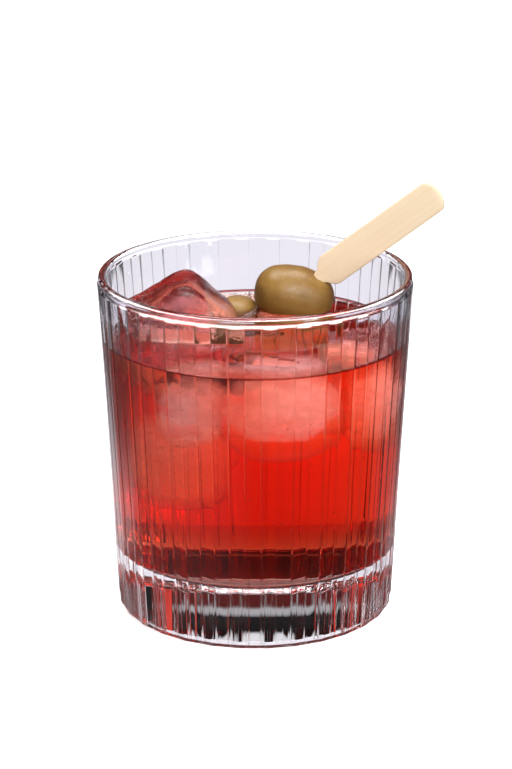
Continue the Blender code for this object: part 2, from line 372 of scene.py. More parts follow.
def studio():
    """The room with its cards and its sky; the camera itself sees plain white."""
    world = bpy.data.worlds.new("studio")
    bpy.context.scene.world = world
    world.use_nodes = True
    tree = world.node_tree
    tree.nodes.clear()
    way = add(tree, "ShaderNodeTexCoord").outputs["Generated"]
    split = add(tree, "ShaderNodeSeparateXYZ")
    tree.links.new(way, split.inputs[0])
    x, y, z = split.outputs
    height = maths(tree, 'MAXIMUM', z, 0.0)
    flat = maths(tree, 'SQRT', maths(tree, 'SUBTRACT', 1.0, maths(tree, 'MULTIPLY', z, z)))
    flat = maths(tree, 'MAXIMUM', flat, 0.05)
    wide = maths(tree, 'ABSOLUTE', maths(tree, 'ADD', maths(tree, 'DIVIDE', x, flat), 0.04))
    back = maths(tree, 'DIVIDE', y, flat)
    low = maths(tree, 'MULTIPLY_ADD', height, -8.0, 5.4, clamp=True)
    aside = maths(tree, 'MULTIPLY_ADD', wide, 8.0, -3.2, clamp=True)
    cards = blend(tree, maths(tree, 'MULTIPLY', low, aside), room_bands(tree, height), side_cards(tree, wide))
    sky = sky_share(tree, height, back)
    inside = add(tree, "ShaderNodeBackground")
    tree.links.new(blend(tree, sky, cards, SKY_TINT), inside.inputs[0])
    tree.links.new(maths(tree, 'MULTIPLY_ADD', sky, SKY_GAIN, 1.0), inside.inputs[1])
    plain = add(tree, "ShaderNodeBackground")
    plain.inputs[0].default_value = (0.97, 0.97, 0.97, 1.0)
    out = add(tree, "ShaderNodeOutputWorld")
    tree.links.new(for_camera(tree, inside, plain).outputs[0], out.inputs[0])
    return world


print("room:", studio().name)

# %% Lamps
def softbox(name, place, aim, width, height, power):
    """A rectangular lamp that points at a place."""
    data = bpy.data.lights.new(name, 'AREA')
    data.shape = 'RECTANGLE'
    data.size, data.size_y = width, height
    data.energy = power
    lamp = bpy.data.objects.new(name, data)
    lamp.location = place
    lamp.rotation_euler = (Vector(aim) - Vector(place)).to_track_quat('-Z', 'Y').to_euler()
    bpy.context.scene.collection.objects.link(lamp)
    return lamp


softbox("top_softbox", (0.0, 0.10, 0.75), (0.0, 0.0, 0.08), 0.70, 0.25, 5.0)
softbox("right_softbox", (0.50, -0.60, 0.24), (0.0, 0.0, 0.08), 0.16, 0.26, 2.6)
front = softbox("front_softbox", (0.20, -0.95, 0.75), (0.0, 0.0, 0.09), 0.5, 0.4, 9.0)
front.visible_transmission = False  # seen through the foot, it would veil the black band
settings = bpy.context.scene
settings.view_settings.view_transform = 'Standard'
settings.cycles.max_bounces = 28
settings.cycles.transmission_bounces = 28
settings.cycles.glossy_bounces = 10
settings.cycles.transparent_max_bounces = 16

# %% [markdown]
# ## Tumbler
# The real tumbler is pressed in a mould: outside, thirty rounded ribs take turns with
# thirty flat panels; inside it is smooth. The ribs are deepest round the foot, grow calmer
# up the wall and stop short of a plain rounded rim, where the wall steps in a little.
# Between a rib and a panel the mould leaves a sharp crease, and it is this crease that
# shows as a thin line. The shape is one profile turned round the axis, and a relief that
# depends on the angle alone, times a share that depends on the height. A turned grid gives
# clean long faces, which bend light far more evenly than a Boolean or a displaced cylinder.

# %% Tumbler sizes
# Angles are in degrees. Crease A is where a rib starts and B where it ends. DEEP and CALM
# set the ribs' depth up the wall, THIN the creases', and FADE where both end at the rim.
HEIGHT = 97.3 * MM
BASE_RADIUS = 38.57 * MM
RIM_RADIUS = 44.0 * MM
LIP_WALL = 2.0 * MM
FOOT_WALL = 3.7 * MM
FLOOR_HEIGHT = 17.6 * MM
FILLET_HEIGHT = 1.6 * MM
FILLET_REACH = 2.0 * MM
FOOT_ROUNDING = 2.2 * MM
PLAIN_RIM = 2.9 * MM
RIB_COUNT = 30
RIB_START = 2.3
RIB_SPAN = 5.9
RIB_CREST = 0.32 * MM
PANEL_DIP = 0.06 * MM
CREASE_A = 0.20 * MM
CREASE_B = 0.12 * MM
CREASE_WIDTH = 0.20
DEEP_UP_TO = 14.0 * MM
CALM_FROM = 34.0 * MM
CALM_SHARE = 0.28
THIN_FROM = 70.0 * MM
THIN_UP_TO = 84.0 * MM
THIN_SHARE = 0.55
RIB_ENDS = 0.12
RIB_END_LENGTH = 1.0 * MM
WALL_STOPS = 0.5 * MM
FADE_BELOW = 0.3 * MM
FADE_ABOVE = 0.5 * MM
LEDGE = 0.45 * MM
LEDGE_HEIGHT = 1.7 * MM
LEDGE_FROM = 0.6 * MM
RECESS = 0.25 * MM
RECESS_RADIUS = 31.0 * MM
RECESS_STEP = 0.15 * MM
RECESS_EDGE = 1.4 * MM
POLE_RING = 3.0 * MM
print("tumbler:", RIB_COUNT, "ribs, rim", 2.0 * RIM_RADIUS / MM, "mm, foot", 2.0 * BASE_RADIUS / MM, "mm")


def outer_radius(z):
    """The outside without its flutes: a straight taper."""
    return BASE_RADIUS + (RIM_RADIUS - BASE_RADIUS) * z / HEIGHT


def inner_radius(z):
    """The inside of the wall, which is thickest at the floor."""
    share = (z - FLOOR_HEIGHT) / (HEIGHT - FLOOR_HEIGHT)
    return outer_radius(z) - FOOT_WALL + (FOOT_WALL - LIP_WALL) * share


def flute_turns():
    """Angles in degrees where the wall is sampled: evenly, and close together at each crease."""
    pitch = 360.0 / RIB_COUNT
    near = np.array([-0.45, -0.28, -0.14, 0.0, 0.14, 0.28, 0.45])
    first = np.concatenate([near, np.linspace(0.9, RIB_SPAN - 0.9, 7), RIB_SPAN + near,
                            np.linspace(RIB_SPAN + 1.1, pitch - 1.1, 4)])
    return (RIB_START + pitch * np.arange(RIB_COUNT)[:, None] + first[None, :]).ravel()


def flute_relief(turns):
    """Ribs: half a sine each, less a shallow one over each panel. Grooves: a narrow bell at a crease."""
    pitch = 360.0 / RIB_COUNT
    within = (turns - RIB_START) % pitch
    which = np.floor((turns - RIB_START) / pitch).astype(int) % RIB_COUNT
    crest = RIB_CREST * np.random.default_rng(5).uniform(0.85, 1.15, RIB_COUNT)[which]
    rib = crest * np.sin(np.pi * np.clip(within / RIB_SPAN, 0.0, 1.0))
    dip = PANEL_DIP * np.sin(np.pi * np.clip((within - RIB_SPAN) / (pitch - RIB_SPAN), 0.0, 1.0))
    from_a = np.minimum(within, pitch - within)
    groove = CREASE_A * np.exp(-((from_a / CREASE_WIDTH) ** 2))
    groove += CREASE_B * np.exp(-(((within - RIB_SPAN) / CREASE_WIDTH) ** 2))
    return rib - dip, -groove


# %% Tumbler shape
def tumbler_outside():
    """Radius and height, and the shares of ribs and grooves, from under the foot to the lip."""
    recess = np.linspace(POLE_RING, RECESS_RADIUS, 12)
    dome = np.stack([recess, RECESS * (1.0 - (recess / RECESS_RADIUS) ** 2) + RECESS_STEP], axis=-1)
    start = np.array([[RECESS_RADIUS + RECESS_EDGE, 0.0]])
    foot = arc(outer_radius(FOOT_ROUNDING) - FOOT_ROUNDING, FOOT_ROUNDING, FOOT_ROUNDING, -90.0, 0.0, 9)
    top = HEIGHT - PLAIN_RIM
    wall_heights = np.concatenate([np.linspace(FOOT_ROUNDING, CALM_FROM, 9)[1:],
                                   np.linspace(CALM_FROM, top - WALL_STOPS, 6)[1:]])
    wall = np.stack([outer_radius(wall_heights), wall_heights], axis=-1)
    fade_heights = np.linspace(top - FADE_BELOW, top + FADE_ABOVE, 6)
    fade = np.stack([outer_radius(fade_heights), fade_heights], axis=-1)
    lip = LIP_WALL / 2.0
    ledge_heights = np.linspace(top + LEDGE_FROM, HEIGHT - lip, 6)[:-1]
    ledge = np.stack([outer_radius(ledge_heights), ledge_heights], axis=-1)
    rim = np.concatenate([ledge, arc(RIM_RADIUS - lip, HEIGHT - lip, lip, 0.0, 180.0, 21)])
    line = np.concatenate([dome, start, foot, wall, fade, rim])
    step = np.clip((line[:, 1] - (top - FADE_BELOW)) / LEDGE_HEIGHT, 0.0, 1.0)
    line[:, 0] -= LEDGE * step ** 2 * (3.0 - 2.0 * step)
    fluted = np.concatenate([
        np.zeros(len(dome) + 1),
        np.linspace(0.0, 1.0, len(foot)) ** 0.5,
        np.ones(len(wall)),
        0.5 + 0.5 * np.cos(np.pi * np.linspace(0.0, 1.0, len(fade))),
        np.zeros(len(rim)),
    ])
    calming = np.clip((line[:, 1] - DEEP_UP_TO) / (CALM_FROM - DEEP_UP_TO), 0.0, 1.0)
    ends = RIB_ENDS * np.exp(-(((line[:, 1] - top) / RIB_END_LENGTH) ** 2))
    rib = fluted * (1.0 - (1.0 - CALM_SHARE) * calming + ends)
    thinning = np.clip((line[:, 1] - THIN_FROM) / (THIN_UP_TO - THIN_FROM), 0.0, 1.0)
    return line, rib, fluted * (1.0 - (1.0 - THIN_SHARE) * thinning)


def bowl(grow=0.0, count=18):
    """The rounded corner of the floor: a quarter of an ellipse, from the wall to the floor."""
    corner = FLOOR_HEIGHT + FILLET_HEIGHT
    turn = np.radians(np.linspace(0.0, 90.0, count))
    reach = inner_radius(corner) - FILLET_REACH + (FILLET_REACH + grow) * np.cos(turn)
    return np.stack([reach, corner - (FILLET_HEIGHT + grow) * np.sin(turn)], axis=-1)


def tumbler_inside():
    """The inside from under the lip to the middle of the floor."""
    corner = FLOOR_HEIGHT + FILLET_HEIGHT
    heights = np.linspace(HEIGHT - LIP_WALL, corner, 10)
    wall = np.stack([inner_radius(heights), heights], axis=-1)
    across = np.linspace(inner_radius(corner) - FILLET_REACH, POLE_RING, 6)[1:]
    floor_line = np.stack([across, np.full(len(across), FLOOR_HEIGHT)], axis=-1)
    return np.concatenate([wall, bowl()[1:], floor_line])


def turned(line, turns, relief=0.0):
    """Carry a profile round the axis: angle 0 is the front and angles run towards +X."""
    angle = np.radians(turns)[None, :]
    reach = line[:, :1] + relief + 0.0 * angle
    height = line[:, 1:] + 0.0 * angle
    return np.stack([reach * np.sin(angle), -reach * np.cos(angle), height], axis=-1)


def tumbler_body():
    """Outside and inside as one closed skin."""
    outside, rib_share, groove_share = tumbler_outside()
    inside = tumbler_inside()
    turns = flute_turns()
    ribs, grooves = flute_relief(turns)
    relief = np.zeros((len(outside) + len(inside), len(turns)))
    relief[:len(outside)] = rib_share[:, None] * ribs + groove_share[:, None] * grooves
    rings = turned(np.concatenate([outside, inside]), turns, relief)
    return turned_out(closed_skin(rings, (0.0, 0.0, RECESS + RECESS_STEP), (0.0, 0.0, FLOOR_HEIGHT)))


print("profile points:", len(tumbler_outside()[0]), "outside,", len(tumbler_inside()), "inside,",
      len(flute_turns()), "turns")


# %% [markdown]
# ## Glass finish
# Clear glass is all transmission. What makes it look real is small: a faint lavender
# tint, and very shallow waves in the pressed surface. Its roughness stays at nought,
# because the white line along the rim lives in sharp reflections alone. Ice and drink are
# wet too, so the waves come from a shader group that all three share: it turns a noise
# into a mask, a roughness and a bumped normal, and each material sets how much of each.

# %% Wet surface group
def wet_group():
    """A node group: Object coordinates in, a mask, a roughness and a bumped normal out."""
    group = bpy.data.node_groups.new("wet_surface", 'ShaderNodeTree')
    face = group.interface
    for name, default in (("Scale", 60.0), ("Detail", 3.0), ("Rough Low", 0.0), ("Rough High", 0.04),
                          ("Bump", 0.02), ("Depth", 0.0005)):
        socket = face.new_socket(name=name, in_out='INPUT', socket_type='NodeSocketFloat')
        socket.default_value = default
    for name, kind in (("Mask", 'NodeSocketFloat'), ("Roughness", 'NodeSocketFloat'),
                       ("Normal", 'NodeSocketVector')):
        face.new_socket(name=name, in_out='OUTPUT', socket_type=kind)
    enter = group.nodes.new("NodeGroupInput")
    leave = group.nodes.new("NodeGroupOutput")
    where = group.nodes.new("ShaderNodeTexCoord")
    noise = group.nodes.new("ShaderNodeTexNoise")
    link = group.links.new
    link(where.outputs["Object"], noise.inputs["Vector"])
    link(enter.outputs["Scale"], noise.inputs["Scale"])
    link(enter.outputs["Detail"], noise.inputs["Detail"])
    spread = group.nodes.new("ShaderNodeMapRange")
    link(noise.outputs["Fac"], spread.inputs["Value"])
    spread.inputs["From Min"].default_value = 0.3
    spread.inputs["From Max"].default_value = 0.7
    link(enter.outputs["Rough Low"], spread.inputs["To Min"])
    link(enter.outputs["Rough High"], spread.inputs["To Max"])
    bump = group.nodes.new("ShaderNodeBump")
    link(enter.outputs["Bump"], bump.inputs["Strength"])
    link(enter.outputs["Depth"], bump.inputs["Distance"])
    link(noise.outputs["Fac"], bump.inputs["Height"])
    link(noise.outputs["Fac"], leave.inputs["Mask"])
    link(spread.outputs["Result"], leave.inputs["Roughness"])
    link(bump.outputs["Normal"], leave.inputs["Normal"])
    return group


WET = wet_group()
print("wet surface sockets:", [item.name for item in WET.interface.items_tree])


def wet_node(tree, **values):
    """The wet-surface group placed in a material with its own values."""
    node = tree.nodes.new("ShaderNodeGroup")
    node.node_tree = WET
    for key, value in values.items():
        node.inputs[key.replace("_", " ").title()].default_value = value
    return node


def clear_finish(name, tint, ior, **wet):
    """A transmitting finish with a wet surface."""
    finish, tree = new_material(name)
    shader = add(tree, "ShaderNodeBsdfPrincipled")
    shader.inputs["Base Color"].default_value = (*tint, 1.0)
    shader.inputs["IOR"].default_value = ior
    shader.inputs["Transmission Weight"].default_value = 1.0
    node = wet_node(tree, **wet)
    tree.links.new(node.outputs["Roughness"], shader.inputs["Roughness"])
    tree.links.new(node.outputs["Normal"], shader.inputs["Normal"])
    return finish, tree, shader, lay_on(tree, shader)


# %% Tumbler
GLASS_TINT = (0.93, 0.925, 0.975)
GLASS_IOR = 1.5
glass_finish = clear_finish("tumbler_glass", GLASS_TINT, GLASS_IOR, scale=28.0, detail=1.0,
                            rough_low=0.0, rough_high=0.0, bump=0.02, depth=0.001)[0]
tumbler = make_piece("tumbler", tumbler_body(), glass_finish)
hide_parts("glass")
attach(tumbler, "root")

# %% [markdown]
# ## Ice
# A used ice cube is a box whose sides have melted slightly hollow and whose edges are
# round. Each cube is a crossing of flat sides: a point in direction d lies where the sum
# of (d . normal / distance) to a high power is one, so the power sets how far the edges
# have melted. Waves then dent it. Cubes that break the surface follow the CAD's, and the
# sunk ones are here alone, because they lie wholly in the drink.

# %% Ice shapes
ICE_ROUNDING = 11.0
ICE_DENT = 0.22 * MM
SUNK_DENT = 0.5 * MM
LONG_DENTS = 9.0 * MM
SHORT_DENTS = 3.2 * MM


def ball_ways(rows, columns):
    """Directions over a ball without its poles, as rings from the bottom to the top."""
    tilt = np.linspace(-np.pi / 2.0, np.pi / 2.0, rows + 2)[1:-1][:, None]
    turn = np.linspace(0.0, 2.0 * np.pi, columns, endpoint=False)[None, :]
    flat = np.cos(tilt)
    return np.stack([flat * np.cos(turn), flat * np.sin(turn), np.sin(tilt) + 0.0 * turn], axis=-1)


def ice_body(centre, sides, seed, rounding=ICE_ROUNDING, rows=84, columns=132, dent=ICE_DENT, shrink=0.0):
    """Rounded crossing of flat sides, dented by two sizes of waves."""
    normals = np.array([side[0] for side in sides], dtype=float)
    normals /= np.linalg.norm(normals, axis=1)[:, None]
    reaches = np.array([side[1] for side in sides])

    def surface(ways):
        facing = np.maximum(0.0, ways @ normals.T) / reaches
        reach = (facing ** rounding).sum(axis=-1) ** (-1.0 / rounding)
        points = ways * reach[..., None]
        swell = dent * waves(points, seed, LONG_DENTS) + 0.3 * dent * waves(points, seed + 1, SHORT_DENTS)
        return np.array(centre) + points + ways * (swell - shrink)[..., None]

    poles = surface(np.array([[0.0, 0.0, -1.0], [0.0, 0.0, 1.0]]))
    return turned_out(closed_skin(surface(ball_ways(rows, columns)), poles[0], poles[1]))


# A cube: its centre, a direction and a distance for each flat side, all in metres, then the
# seed of its dents and, where it isn't the usual one, the power of its edges.
LEFT_ICE = ((-0.0208, 0.0062, 0.0768), (
    ((-0.515, 0.030, 0.857), 0.0150), ((0.690, 0.050, 0.720), 0.0150),
    ((0.120, 0.040, 0.990), 0.0192), ((0.970, 0.050, 0.060), 0.0170),
    ((0.080, -1.000, 0.060), 0.0128), ((-0.060, 1.000, 0.020), 0.0123),
    ((-0.770, -0.050, -0.640), 0.0088), ((0.515, 0.000, -0.857), 0.0130)), 31)
FRONT_ICE = ((0.0062, -0.0193, 0.0668), (
    ((0.08, 0.14, 0.98), 0.0121), ((0.97, 0.22, 0.08), 0.0145), ((-0.24, -0.96, 0.10), 0.0116),
    ((0.62, -0.78, 0.05), 0.0145), ((0.20, 0.98, -0.05), 0.0098), ((-0.97, -0.20, -0.05), 0.0130),
    ((0.08, 0.12, -0.99), 0.0125)), 84, 6.0)
BACK_ICE = ((0.0064, 0.0068, 0.0664), (
    ((-0.40, -0.31, 0.86), 0.0113), ((0.66, 0.68, 0.30), 0.0092), ((-0.10, 0.93, -0.35), 0.0090),
    ((-0.98, 0.05, 0.15), 0.0090), ((0.85, -0.10, 0.52), 0.0078), ((0.05, -0.99, 0.10), 0.0108),
    ((0.05, 0.10, -0.99), 0.0110)), 57)


def box_sides(half, turn, lean):
    """Six sides of a block, turned about the vertical and leaned, in degrees."""
    a, b = math.radians(turn), math.radians(lean)
    spin = np.array([[math.cos(a), -math.sin(a), 0], [math.sin(a), math.cos(a), 0], [0, 0, 1]])
    tip = np.array([[1, 0, 0], [0, math.cos(b), -math.sin(b)], [0, math.sin(b), math.cos(b)]])
    axes = spin @ tip
    return tuple((tuple(sign * axes[:, i]), half[i]) for i in range(3) for sign in (1.0, -1.0))


# A block: its centre, its half sizes with its turn and lean, its seed and its power.
SUNK_ICE = {
    "sunk_ice_middle": ((-0.0165, -0.0225, 0.0665), box_sides((0.0085, 0.0085, 0.0100), 12.0, 6.0), 77, 2.8),
    "sunk_ice_right": ((0.0265, -0.0010, 0.0620), box_sides((0.0080, 0.0120, 0.0135), 24.0, 8.0), 12, 3.4),
    "sunk_ice_left": ((-0.0175, -0.0080, 0.0475), box_sides((0.0125, 0.0125, 0.0135), -18.0, -10.0), 45, 3.0),
}
print("cubes that break the surface: 3, sunk:", len(SUNK_ICE))

# %% [markdown]
# ## Ice finish
# Out of the drink a cube is frosted and wears a thin red film of drink. Its red is deepened as
# painted red glow from the drink beneath, and its right edge is clear and crackled. In the
# drink, wet ice has almost the drink's own bend, so its skin is all but gone. A faint alpha
# below the waterline says just that, and it keeps the dark rims away that full glass on glass would draw.

# %% Ice finish
ICE_WATERLINE = 79.2 * MM
FROST_RISE = 1.5 * MM
CLEAR_STRIP_FROM = -13.0 * MM
ICE_TINT = (0.985, 0.985, 0.995)
ICE_IOR = 1.31
# Painted glow: the film's red is deepened to stand in for the red light of the drink beneath.
FILM_AND_DRINK_GLOW_TINT = (0.99, 0.40, 0.41)
FROST_ROUGHNESS = 0.20
SUNK_ROUGHNESS = 0.20


def ice_finish(name, faint):
    """Frost and a film with painted red glow above the waterline, crackle beyond one place, and a faint skin
    below.
    """
    finish, tree, shader, _ = clear_finish(name, ICE_TINT, ICE_IOR, scale=260.0, rough_low=0.0,
                                           rough_high=0.10, bump=0.4, depth=0.0006)
    where, x, _, z = place_on(tree)
    above = maths(tree, 'MULTIPLY_ADD', z, 1.0 / FROST_RISE, -ICE_WATERLINE / FROST_RISE, clamp=True)
    aside = maths(tree, 'MULTIPLY_ADD', x, -1.0 / FROST_RISE, CLEAR_STRIP_FROM / FROST_RISE, clamp=True)
    frost_and_glow = maths(tree, 'MULTIPLY', above, aside)
    wet_roughness = shader.inputs["Roughness"].links[0].from_socket
    rough = maths(tree, 'MULTIPLY_ADD', frost_and_glow, FROST_ROUGHNESS, wet_roughness)
    sunk = maths(tree, 'MULTIPLY', maths(tree, 'SUBTRACT', 1.0, above), SUNK_ROUGHNESS)
    tree.links.new(maths(tree, 'ADD', rough, sunk), shader.inputs["Roughness"])
    # The frost mask also lays the red film, with its painted glow, over the frosted faces.
    tree.links.new(blend(tree, frost_and_glow, ICE_TINT, FILM_AND_DRINK_GLOW_TINT), shader.inputs["Base Color"])
    tree.links.new(maths(tree, 'MULTIPLY_ADD', above, 1.0 - faint, faint), shader.inputs["Alpha"])
    crackle = add(tree, "ShaderNodeTexNoise", Scale=900.0, Detail=4.0)
    tree.links.new(where, crackle.inputs["Vector"])
    bump = add(tree, "ShaderNodeBump", Distance=0.0006)
    clear_strip = maths(tree, 'MULTIPLY', maths(tree, 'SUBTRACT', 1.0, aside), above)
    tree.links.new(clear_strip, bump.inputs["Strength"])
    tree.links.new(crackle.outputs["Fac"], bump.inputs["Height"])
    tree.links.new(shader.inputs["Normal"].links[0].from_socket, bump.inputs["Normal"])
    tree.links.new(bump.outputs[0], shader.inputs["Normal"])
    return finish


frosted_ice = ice_finish("frosted_ice", 0.20)
clear_ice = ice_finish("clear_ice", 0.12)
print("ice finishes:", frosted_ice.name, clear_ice.name)

# %% [markdown]
# ## Milky cores
# Tiny bubbles freeze into the middle of a cube. In a red drink they are what shows of the
# sunk ice: soft pale clouds without an edge. Each core is a rounder lump inside its cube.
# Its alpha falls off towards its outline, is broken by a noise, and fades low down and
# just under the surface. A volume would do the same, but far more slowly. Each core also
# gives off a painted pale red glow that grows to the right, for light scattered in from the right behind.

# %% Milky cores
MILK_FROM = 45.0 * MM
MILK_RISE = 24.0 * MM
MILK_UNDER = 79.0 * MM
MILK_SINK = 6.0 * MM
# Painted glow: how fast the cores' glow grows to the right, and its strength at the middle.
MILK_GLOW_SLOPE = 14.0
MILK_GLOW_MIDDLE = 0.64
CORE_DENT = 0.6 * MM


def core_finish():
    """Alpha: (1 - facing) to a power, times a noise, times a fade low down and one on top; and a painted red
    glow, brighter to the right.
    """
    finish, tree = new_material("milky_ice_glow")
    where, x, _, z = place_on(tree)
    cloud = add(tree, "ShaderNodeTexNoise", Scale=150.0, Detail=2.0, Roughness=0.5)
    tree.links.new(where, cloud.inputs["Vector"])
    shader = add(tree, "ShaderNodeBsdfPrincipled")
    hue = ramp(tree, cloud.outputs["Fac"], [(0.3, (0.86, 0.55, 0.54)), (0.7, (0.96, 0.74, 0.73))])
    tree.links.new(hue, shader.inputs["Base Color"])
    shader.inputs["Roughness"].default_value = 0.9
    shader.inputs["Specular IOR Level"].default_value = 0.0
    # Painted glow: the core emits pale red light, stronger to the right, for light scattered in from the
    # right behind.
    shader.inputs["Emission Color"].default_value = (1.0, 0.42, 0.40, 1.0)
    tree.links.new(maths(tree, 'MULTIPLY_ADD', x, MILK_GLOW_SLOPE, MILK_GLOW_MIDDLE, clamp=True),
                   shader.inputs["Emission Strength"])
    facing = add(tree, "ShaderNodeLayerWeight", Blend=0.5).outputs["Facing"]
    inner = maths(tree, 'POWER', maths(tree, 'SUBTRACT', 1.0, facing), 1.4)
    thick = ramp(tree, cloud.outputs["Fac"], [(0.30, 0.30), (0.70, 0.95)])
    risen = maths(tree, 'MULTIPLY_ADD', z, 1.0 / MILK_RISE, -MILK_FROM / MILK_RISE, clamp=True)
    sunk = maths(tree, 'MULTIPLY_ADD', z, -1.0 / MILK_SINK, MILK_UNDER / MILK_SINK, clamp=True)
    fade = maths(tree, 'MULTIPLY', risen, sunk)
    milk = maths(tree, 'MULTIPLY', maths(tree, 'MULTIPLY', inner, thick), fade)
    tree.links.new(milk, shader.inputs["Alpha"])
    lay_on(tree, shader)
    return finish


# A core: its centre, its half sizes with its turn and lean, its seed and its power.
CORES = {
    "ice_heart_front": ((0.0060, -0.0190, 0.0672), box_sides((0.0140, 0.0074, 0.0110), 10.0, 4.0), 61, 2.0),
    "ice_heart_middle": ((-0.0140, -0.0225, 0.0672), box_sides((0.0100, 0.0072, 0.0100), 12.0, 6.0), 62, 2.0),
    "ice_heart_right": ((0.0265, -0.0010, 0.0625), box_sides((0.0062, 0.0095, 0.0110), 24.0, 8.0), 63, 2.2),
    "ice_heart_left": ((-0.0165, -0.0085, 0.0500), box_sides((0.0120, 0.0095, 0.0125), -18.0, -10.0), 64,
                       2.0),
}
milky_glow = core_finish()
for name, lump in CORES.items():
    heart = make_piece(name, ice_body(*lump, rows=40, columns=60, dent=CORE_DENT), milky_glow)
    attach(heart, "root")

# %% Cubes
for name, lump in (("melted_ice_left", LEFT_ICE), ("melted_ice_front", FRONT_ICE),
                   ("melted_ice_back", BACK_ICE)):
    ice = make_piece(name, ice_body(*lump), frosted_ice if lump is LEFT_ICE else clear_ice)
    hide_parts(name.replace("melted_", ""))
    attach(ice, "root")
for name, lump in SUNK_ICE.items():
    ice = make_piece(name, ice_body(*lump, rows=48, columns=72, dent=SUNK_DENT), clear_ice)
    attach(ice, "root")

# %% [markdown]
# ## Drink
# The drink wets the glass, so its side lies a little inside the wall: a ray then goes
# from glass to drink with no air between. Its top creeps up the wall in a meniscus. The
# ice needs rooms in it that end just inside each cube, which keeps the cubes free of the
# red. A cube that breaks the surface is cut out with a Boolean; a sunk one is a closed
# hollow that is simply joined on with its faces turned in, and so are the bubbles.

# %% Drink shape
LEVEL = 79.3 * MM
MENISCUS = 0.6 * MM
MENISCUS_LENGTH = 1.0 * MM
INTO_WALL = 0.15 * MM
ROOM_SHRINK = 0.13 * MM
ROOMS_FROM = 26.0 * MM
ROOMS_UNDER = 0.35 * MM
ROOMS_OFF_WALL = 0.8 * MM
SWELL = 0.07 * MM
SWELL_LENGTH = 16.0 * MM
CALM_EDGE = 6.0 * MM
BUBBLE_COUNT = 260
BUBBLE_SEED = 3
BUBBLE_SMALL = 0.08 * MM
BUBBLE_LARGE = 0.26 * MM
BUBBLES_IN_COLUMN = 0.55
COLUMN_TURN = -38.0
COLUMN_SPREAD = 9.0


def drink_body(columns=240):
    """A turned profile up the wall, and a top that rises to the wall by a falling exponential."""
    corner = FLOOR_HEIGHT + FILLET_HEIGHT
    low = FLOOR_HEIGHT - INTO_WALL
    across = np.linspace(4.0 * MM, inner_radius(corner) - FILLET_REACH, 8)
    bottom = np.stack([across, np.full(len(across), low)], axis=-1)
    fillet = bowl(INTO_WALL)[::-1][1:]
    heights = np.linspace(corner, LEVEL + MENISCUS, 24)[1:]
    wall = np.stack([inner_radius(heights) + INTO_WALL, heights], axis=-1)
    edge = inner_radius(LEVEL + MENISCUS) + INTO_WALL
    inwards = np.concatenate([np.array([0.12, 0.3, 0.55, 0.85, 1.2, 1.7, 2.3, 3.1, 4.2, 5.6]) * MM,
                              np.linspace(7.5 * MM, edge - 1.5 * MM, 20)])
    rise = LEVEL + MENISCUS * np.exp(-inwards / MENISCUS_LENGTH)
    top = np.stack([edge - inwards, rise], axis=-1)
    line = np.concatenate([bottom, fillet, wall, top])
    rings = turned(line, np.linspace(0.0, 360.0, columns, endpoint=False))
    free = len(bottom) + len(fillet) + len(wall)
    calm = np.clip(inwards / CALM_EDGE, 0.0, 1.0)[:, None]
    rings[free:, :, 2] += SWELL * calm * waves(rings[free:], 9, SWELL_LENGTH)
    return turned_out(closed_skin(rings, (0.0, 0.0, low), (0.0, 0.0, LEVEL)))


def bubbles_body(count, seed):
    """Small hollow balls: on the inner wall, most of them in a column at the left."""
    draw = np.random.default_rng(seed)
    balls = []
    ways = ball_ways(4, 8)
    for _ in range(count):
        z = draw.uniform(FLOOR_HEIGHT + 7.0 * MM, LEVEL - 1.0 * MM)
        in_column = draw.random() < BUBBLES_IN_COLUMN
        degrees = draw.normal(COLUMN_TURN, COLUMN_SPREAD) if in_column else draw.uniform(-180.0, 180.0)
        turn = math.radians(degrees)
        size = draw.uniform(BUBBLE_SMALL, BUBBLE_LARGE)
        reach = inner_radius(z) - size - 0.05 * MM
        centre = np.array([reach * math.sin(turn), -reach * math.cos(turn), z])
        rings = centre + ways * size
        balls.append(turned_in(closed_skin(rings, centre - (0, 0, size), centre + (0, 0, size))))
    return joined(balls)


rooms = [turned_in(ice_body(*lump, rows=48, columns=72, dent=SUNK_DENT, shrink=ROOM_SHRINK))
         for lump in SUNK_ICE.values()]
print("drink up to", LEVEL / MM, "mm, closed rooms:", len(rooms))

# %% [markdown]
# ## Drink finish
# The red is not on the surface but in the liquid: it takes green and blue out of the light
# along its way, so that thin places are paler. The walls of the rooms are marked with an
# attribute on the points and are fully clear; only the red ends there. The edge that
# creeps up the glass is painted in shade, a dark tint for the depth of liquid the eye sees there at once.

# %% Drink finish
DRINK_TINT = (1.0, 0.985, 0.975)
DRINK_IOR = 1.345
SOAK_COLOUR = (0.965, 0.42, 0.17, 1.0)
SOAK_DENSITY = 104.0
# Painted shade: the dark colour of the meniscus band.
MENISCUS_SHADE = (0.30, 0.05, 0.05)


def drink_finish():
    """A clear liquid with a soaking volume, a meniscus in painted shade and clear room walls."""
    finish, tree, shader, out = clear_finish("red_aperitif", DRINK_TINT, DRINK_IOR, scale=90.0,
                                             rough_low=0.0, rough_high=0.02, bump=0.03, depth=0.0006)
    soak = add(tree, "ShaderNodeVolumeAbsorption")
    soak.inputs["Color"].default_value = SOAK_COLOUR
    soak.inputs["Density"].default_value = SOAK_DENSITY
    tree.links.new(soak.outputs[0], out.inputs["Volume"])
    _, _, _, z = place_on(tree)
    # Painted shade: a dark band where the drink creeps up the wall.
    height = maths(tree, 'MULTIPLY_ADD', z, 1.0 / MENISCUS, -(LEVEL + 0.25 * MENISCUS) / MENISCUS, clamp=True)
    tint = ramp(tree, height, [(0.0, DRINK_TINT), (0.12, MENISCUS_SHADE), (1.0, MENISCUS_SHADE)])
    tree.links.new(tint, shader.inputs["Base Color"])
    room = add(tree, "ShaderNodeAttribute", attribute_name="room")
    tree.links.new(maths(tree, 'SUBTRACT', 1.0, room.outputs["Fac"]), shader.inputs["Alpha"])
    return finish


